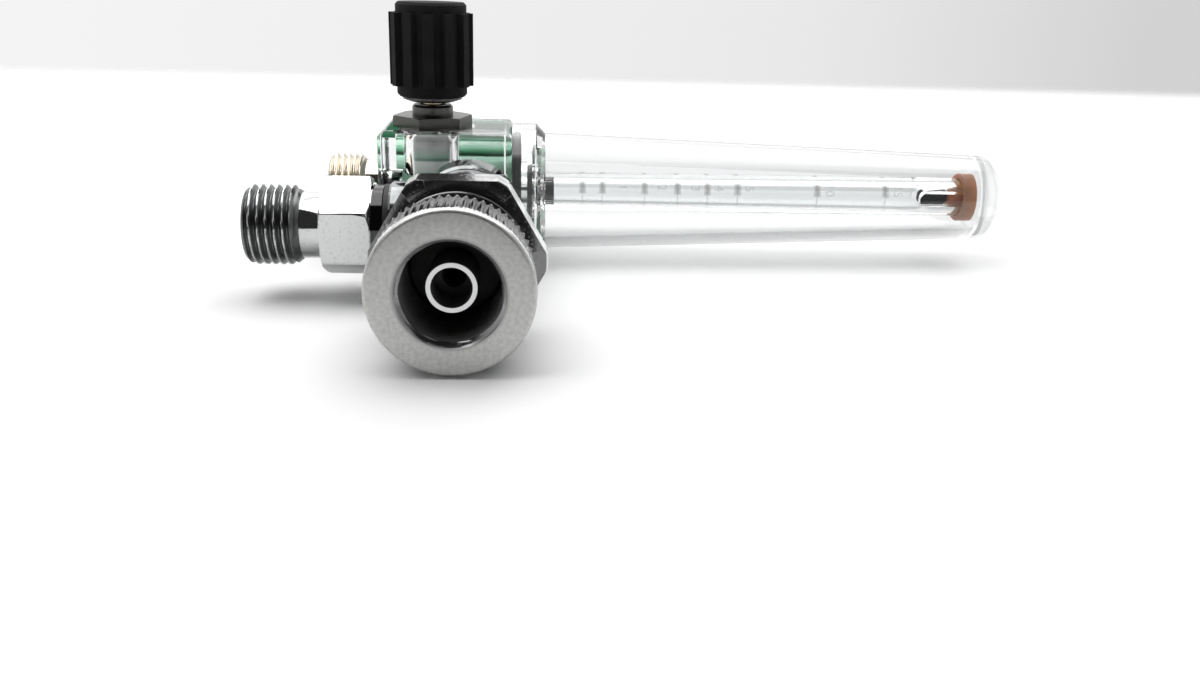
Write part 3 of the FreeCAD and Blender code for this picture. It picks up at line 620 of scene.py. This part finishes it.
def make_side_fitting():
    """Shank, collar, hexagon, neck and cut thread of the take-off fitting."""
    low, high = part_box("side_fitting")
    axis_point = Vector((high.x, (low.y + high.y) / 2, (low.z + high.z) / 2))
    length = high.x - low.x
    shank, collar, flats_length, neck = 7.2 * MM, 2.2 * MM, 8.6 * MM, 3.8 * MM
    shank_radius, collar_radius, neck_radius, thread_radius = 6.0 * MM, 7.3 * MM, 5.9 * MM, 7.14 * MM
    flats, turn, bore, edge = 16.0 * MM, math.radians(-5.0), 3.3 * MM, 0.9 * MM
    hex_start = shank + collar
    hex_end = hex_start + flats_length
    thread_start = hex_end + neck
    root = thread_radius - SIDE_DEPTH

    def radius_at(kind, distance, radius, angle):
        if kind == "hex":
            return min(radius, hexagon_radius(flats, angle, turn))
        if kind == "thread":
            return cut_thread(distance, angle, thread_start, length - edge, SIDE_PITCH, neck_radius,
                              thread_radius, root)
        return radius

    stations = [(0.0, bore, ""), (0.0, shank_radius, ""), (shank, shank_radius, ""),
                (shank, collar_radius - 0.2 * MM, ""), (shank + 0.2 * MM, collar_radius, ""),
                (hex_start, collar_radius, "")]
    stations += chamfered_hexagon(flats, edge, hex_start, flats_length)
    stations += [(hex_end, neck_radius + 0.5 * MM, ""), (hex_end + 0.15 * MM, neck_radius + 0.15 * MM, ""),
                 (hex_end + 0.5 * MM, neck_radius, ""), (thread_start, neck_radius, "")]
    stations += thread_rows(thread_start, length, SIDE_PITCH, "thread")
    stations += [(length, bore + edge + 0.3 * MM, ""), (length, bore + edge, ""), (length - edge, bore, "")]
    piece = radial_solid("side_fitting_cut", axis_point, Vector((-1, 0, 0)), Vector((0, 0, 1)), stations,
                         120, radius_at, "side_metal", "main")
    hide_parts("side_fitting")


def make_outlet_stub():
    """The brass outlet's shank, neck and cut thread."""
    low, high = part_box("outlet_stub")
    axis_point = Vector((high.x, (low.y + high.y) / 2, (low.z + high.z) / 2))
    length = high.x - low.x
    shank, neck = 3.6 * MM, 3.5 * MM
    shank_radius, neck_radius, thread_radius, bore, edge = 4.8 * MM, 5.8 * MM, 7.0 * MM, 2.6 * MM, 0.7 * MM
    thread_start = shank + neck
    root = thread_radius - STUB_DEPTH

    def radius_at(kind, distance, radius, angle):
        if kind == "thread":
            return cut_thread(distance, angle, thread_start, length - edge, STUB_PITCH, neck_radius,
                              thread_radius, root)
        return radius

    stations = [(0.0, bore, ""), (0.0, shank_radius, ""), (shank, shank_radius, ""),
                (shank, neck_radius, ""), (thread_start, neck_radius, "")]
    stations += thread_rows(thread_start, length, STUB_PITCH, "thread")
    stations += [(length, bore + 0.4 * MM, ""), (length - 0.4 * MM, bore, "")]
    piece = radial_solid("outlet_stub_cut", axis_point, Vector((-1, 0, 0)), Vector((0, 0, 1)), stations,
                         112, radius_at, "stub_metal", "main")
    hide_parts("outlet_stub")


def make_swivel_nut():
    """The nut with its straight knurl, plain neck, hexagon and inner thread."""
    low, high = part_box("swivel_nut")
    length = high.y - low.y
    knurl_depth, ridges, bead = 0.42 * MM, 60, 0.08 * MM
    neck_radius, flats, chamfer, hex_corner = 11.2 * MM, 26.0 * MM, 0.6 * MM, 14.5 * MM
    bore, mouth, relief, relief_length = 7.48 * MM, 8.25 * MM, 8.5 * MM, 4.4 * MM
    web, hole, edge, blunt = 6.0 * MM, 5.3 * MM, 0.7 * MM, 0.12 * MM
    hex_start = length - NUT_HEX_LENGTH
    thread_end = length - web - relief_length
    steps = ridges * 8

    def radius_at(kind, distance, radius, angle):
        if kind == "hex":
            return min(radius, hexagon_radius(flats, angle))
        if kind == "knurl":
            share = abs((angle * ridges / (2 * math.pi)) % 1.0 - 0.5) * 2
            groove = min(1.0, max(0.0, (share - 0.15) / 0.75))
            started = min(1.0, max(0.0, (distance - NUT_LIP) / (NUT_LIP * 0.25)))
            return radius - knurl_depth * groove * started
        if kind == "inner_thread":
            entry = mouth - distance
            turns = distance / NUT_PITCH - angle / (2 * math.pi)
            return max(bore + NUT_THREAD_DEPTH * (1 - tooth(turns)), entry)
        return radius

    stations = [(0.0, KNURL_RADIUS - edge, "")]
    for share in (0.25, 0.5, 0.75, 1.0):
        lean = math.sin(math.pi / 2 * share)
        drop = 1 - math.cos(math.pi / 2 * share)
        stations.append((edge * drop, KNURL_RADIUS - edge * (1 - lean), ""))
    for distance, radius in ((NUT_LIP, KNURL_RADIUS), (NUT_LIP * 1.25, KNURL_RADIUS),
                             (KNURL_LENGTH - 0.7 * MM, KNURL_RADIUS),
                             (KNURL_LENGTH - 0.52 * MM, KNURL_RADIUS + bead),
                             (KNURL_LENGTH - 0.4 * MM, KNURL_RADIUS + bead),
                             (KNURL_LENGTH - blunt * 2, KNURL_RADIUS), (KNURL_LENGTH, KNURL_RADIUS - blunt)):
        stations.append((distance, radius, "knurl"))
    stations += [(KNURL_LENGTH, neck_radius + blunt, ""), (KNURL_LENGTH + blunt, neck_radius, ""),
                 (hex_start - blunt, neck_radius, ""), (hex_start, neck_radius + blunt, "")]
    stations += chamfered_hexagon(flats, chamfer, hex_start, NUT_HEX_LENGTH, hex_corner)
    stations += [(length, hole + 0.3 * MM, ""), (length - 0.3 * MM, hole, ""), (length - web, hole, ""),
                 (length - web, relief, ""), (thread_end, relief, "")]
    rows = thread_rows(0.0, thread_end, NUT_PITCH, "inner_thread", 10)
    stations += list(reversed(rows))
    stations += [(0.0, mouth + 0.12 * MM, "")]
    piece = radial_solid("swivel_nut_cut", Vector((0, low.y, 0)), Vector((0, 1, 0)), Vector((1, 0, 0)),
                         stations, steps, radius_at, "nut_metal", "nut")
    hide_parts("swivel_nut")


# Printed scale on the metering tube

MARK_PLACES = (22.4, 26.5, 35.2, 42.0, 48.2, 54.5, 71.2, 85.6)
NUMBER_PLACES = {1: 30.6, 2: 38.7, 3: 45.6, 4: 50.6, 5: 56.9, 10: 73.8, 15: 88.2}
PRINT_LIFT = 0.03 * MM
MARK_WIDTHS = (1.5 * MM, 1.0 * MM, 0.5 * MM)
MARK_ANGLES = ((4, 46), (7, 43), (10, 40))
SPECK_ANGLES = (76, 90)
LINE_WIDTH = 0.3 * MM
LINE_ANGLES = (-38, 10)


def arc_strip(name, where, axis_y, axis_z, radius, width, start, finish, material):
    """A thin printed line round the metering tube, with angles from the side that faces the camera."""
    count = max(4, int(abs(finish - start) / 6))
    vertices, faces = [], []
    for index in range(count + 1):
        angle = math.radians(start + (finish - start) * index / count)
        y = axis_y - radius * math.cos(angle)
        z = axis_z + radius * math.sin(angle)
        vertices += [(where - width / 2, y, z), (where + width / 2, y, z)]
    for index in range(count):
        first = index * 2
        faces.append((first, first + 1, first + 3, first + 2))
    return make_object(name, vertices, faces, material, "main")


def printed_number(name, number, where, axis_y, axis_z, radius, height, angle, material):
    """A plain number, read with the tube upright, wrapped onto the tube."""
    text = bpy.data.curves.new(name, "FONT")
    text.body = str(number)
    text.size = height * 1.4
    text.align_x = "CENTER"
    text.align_y = "CENTER"
    holder = bpy.data.objects.new(name + "_text", text)
    bpy.context.scene.collection.objects.link(holder)
    bpy.context.view_layer.update()
    flat = bpy.data.meshes.new_from_object(holder.evaluated_get(bpy.context.evaluated_depsgraph_get()))
    bpy.data.objects.remove(holder)
    vertices = []
    for vertex in flat.vertices:
        turn = math.radians(angle) - vertex.co.x / radius
        vertices.append((where + vertex.co.y, axis_y - radius * math.cos(turn),
                         axis_z + radius * math.sin(turn)))
    faces = [tuple(polygon.vertices) for polygon in flat.polygons]
    bpy.data.meshes.remove(flat)
    return make_object(name, vertices, faces, material, "main")


def make_scale():
    """Graduations and plain numbers on the metering tube."""
    low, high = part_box("metering_tube")
    centre = (low + high) / 2
    radius = (high.z - low.z) / 2 + PRINT_LIFT
    for index, place in enumerate(MARK_PLACES):
        where = place * MM
        for layer, (width, angles) in enumerate(zip(MARK_WIDTHS, MARK_ANGLES)):
            arc_strip(f"mark_{index}_{layer}", where, centre.y, centre.z,
                                    radius + layer * 0.01 * MM, width, *angles, "scale_print")
        arc_strip(f"mark_{index}_speck", where, centre.y, centre.z, radius, MARK_WIDTHS[1],
                                *SPECK_ANGLES, "scale_print")
        arc_strip(f"mark_{index}_line", where, centre.y, centre.z, radius, LINE_WIDTH,
                                *LINE_ANGLES, "scale_print")
    for number, place in NUMBER_PLACES.items():
        printed_number(f"number_{number}", number, place * MM, centre.y, centre.z,
                                     radius, 1.9 * MM, 24, "scale_print")


# Printed patches on the block's upper face, from its left edge

PATCH_LEFT = 1.2 * MM
PATCH_WIDTH = 2.5 * MM
FAR_PATCH = (5.3 * MM, 18.3 * MM)
NEAR_PATCH_BACK = 3.7 * MM
BLOCK_EDGE = 1.2 * MM


def make_patches():
    """Two green patches along the block's upper left edge, the near one bent over its front edge."""
    low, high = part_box("body_block")
    left = low.x + PATCH_LEFT
    top = high.z + PRINT_LIFT
    near_path = [(low.y + NEAR_PATCH_BACK, top)]
    for step in range(7):
        angle = math.radians(90 - step * 11)
        reach = BLOCK_EDGE + PRINT_LIFT
        near_path.append((low.y + BLOCK_EDGE - reach * math.cos(angle),
                          high.z - BLOCK_EDGE + reach * math.sin(angle)))
    paths = [[(low.y + FAR_PATCH[1], top), (low.y + FAR_PATCH[0], top)], near_path]
    for index, path in enumerate(paths):
        corners = []
        for y, z in path:
            corners += [(left, y, z), (left + PATCH_WIDTH, y, z)]
        faces = [(row * 2, row * 2 + 1, row * 2 + 3, row * 2 + 2) for row in range(len(path) - 1)]
        make_object(f"top_patch_{index}", corners, faces, "green_print", "main")


# Table, backdrop, light and camera

def plane(name, corners, material):
    """A flat stage piece."""
    mesh = bpy.data.meshes.new(name)
    mesh.from_pydata(corners, [], [(0, 1, 2, 3)])
    mesh.materials.append(material)
    piece = bpy.data.objects.new(name, mesh)
    bpy.context.scene.collection.objects.link(piece)
    return piece


def table_material():
    """A white matt top, a little brighter to the camera than it is, that fades out at its far edge."""
    material, tree, output = new_material("table_white")
    diffuse = tree.nodes.new("ShaderNodeBsdfDiffuse")
    through_plastic = blend(tree, seen_share(tree, "Is Transmission Ray"), 0.85, TABLE_THROUGH_PLASTIC)
    tree.links.new(blend(tree, seen_share(tree, "Is Camera Ray"), through_plastic, TABLE_SEEN),
                   diffuse.inputs["Color"])
    past = step_between(tree, coordinate(tree, "Y"), TABLE_EDGE - EDGE_FADE, TABLE_EDGE + EDGE_FADE)
    through = tree.nodes.new("ShaderNodeBsdfTransparent")
    mixed(tree, output, past, diffuse.outputs["BSDF"], through.outputs["BSDF"])
    return material


def backdrop_material():
    """A pale backdrop that greys towards the right."""
    material, tree, output = new_material("backdrop_grey")
    diffuse = tree.nodes.new("ShaderNodeBsdfDiffuse")
    diffuse.inputs["Color"].default_value = (0.4, 0.4, 0.41, 1.0)
    place = share_between(tree, coordinate(tree, "X"), *BACKDROP_SPAN)
    tone = ramp(tree, place, (0.0, 0.82), (0.69, 0.7), (0.97, 0.56))
    light = tree.nodes.new("ShaderNodeEmission")
    tree.links.new(tone, light.inputs["Color"])
    tree.links.new(seen_share(tree, "Is Camera Ray", "Is Glossy Ray", "Is Transmission Ray"),
                   light.inputs["Strength"])
    added(tree, output, diffuse.outputs["BSDF"], light.outputs["Emission"])
    return material


def make_stage():
    """A white table that ends behind the object, and a light grey backdrop past it."""
    floor_z = CAD_BOX[0][2]
    far = TABLE_EDGE + EDGE_FADE
    plane("table", [(-TABLE_HALF_WIDTH, TABLE_NEAR, floor_z), (TABLE_HALF_WIDTH, TABLE_NEAR, floor_z),
                    (TABLE_HALF_WIDTH, far, floor_z), (-TABLE_HALF_WIDTH, far, floor_z)], table_material())
    width = BACKDROP_HALF_WIDTH
    low, high = BACKDROP_HEIGHTS
    plane("backdrop", [(-width, BACKDROP_PLACE, low), (width, BACKDROP_PLACE, low),
                       (width, BACKDROP_PLACE, high), (-width, BACKDROP_PLACE, high)], backdrop_material())


def lamp(name, place, aim, size, power):
    """A soft rectangular lamp aimed at a point."""
    data = bpy.data.lights.new(name, "AREA")
    data.shape = "RECTANGLE"
    data.size, data.size_y = size
    data.energy = power
    item = bpy.data.objects.new(name, data)
    item.location = place
    item.rotation_mode = "QUATERNION"
    item.rotation_quaternion = (Vector(aim) - Vector(place)).to_track_quat("-Z", "Y")
    bpy.context.scene.collection.objects.link(item)
    return item


def make_light():
    """Soft light from above and behind, in a pale room with a dark side towards -Y."""
    lamp("overhead", place=(-0.05, 0.2, 0.6), aim=(-0.01, 0.12, 0), size=(1.3, 0.64), power=4.8)
    lamp("rear", place=(0.1, 0.85, 0.5), aim=(0.03, 0.05, 0), size=(1.2, 0.5), power=1.5)
    world = bpy.data.worlds.new("room")
    world.use_nodes = True
    tree = world.node_tree
    background = tree.nodes["Background"]
    coordinates = tree.nodes.new("ShaderNodeTexCoord")
    split = tree.nodes.new("ShaderNodeSeparateXYZ")
    tree.links.new(coordinates.outputs["Generated"], split.inputs["Vector"])
    flat = math_node(tree, "SQRT", math_node(tree, "SUBTRACT", 1.0001, math_node(
        tree, "MULTIPLY", split.outputs["Z"], split.outputs["Z"])))
    towards_camera = math_node(tree, "MULTIPLY", math_node(tree, "DIVIDE", split.outputs["Y"], flat), -1.0)
    in_dark = step_between(tree, towards_camera, *DARK_SECTOR)
    below_ceiling = opposite(tree, step_between(tree, split.outputs["Z"], *CEILING))
    reflected = opposite(tree, seen_share(tree, "Is Transmission Ray"))
    dark = math_node(tree, "MULTIPLY", math_node(tree, "MULTIPLY", in_dark, below_ceiling), reflected)
    tree.links.new(blend(tree, dark, ROOM_GREY, ROOM_DARK), background.inputs["Color"])
    background.inputs["Strength"].default_value = ROOM_STRENGTH
    bpy.context.scene.world = world


def make_camera():
    """The photograph's view, from the fitted place and angles."""
    data = bpy.data.cameras.new("camera")
    data.sensor_width = SENSOR_MM
    data.lens = FOCAL_PIXELS / IMAGE_WIDTH * SENSOR_MM
    data.clip_start = 0.01
    data.clip_end = 20.0
    camera = bpy.data.objects.new("camera", data)
    turn = Matrix.Rotation(math.radians(-CAMERA_YAW), 4, "Z")
    tilt = Matrix.Rotation(math.radians(90 - CAMERA_PITCH), 4, "X")
    roll = Matrix.Rotation(math.radians(CAMERA_ROLL), 4, "Z")
    camera.matrix_world = Matrix.Translation(CAMERA_PLACE) @ turn @ tilt @ roll
    bpy.context.scene.collection.objects.link(camera)
    bpy.context.scene.camera = camera


finish_nodes()
make_side_fitting()
make_outlet_stub()
make_swivel_nut()
make_scale()
make_patches()
make_stage()
make_light()
make_camera()
bpy.context.scene.view_settings.view_transform = "Standard"
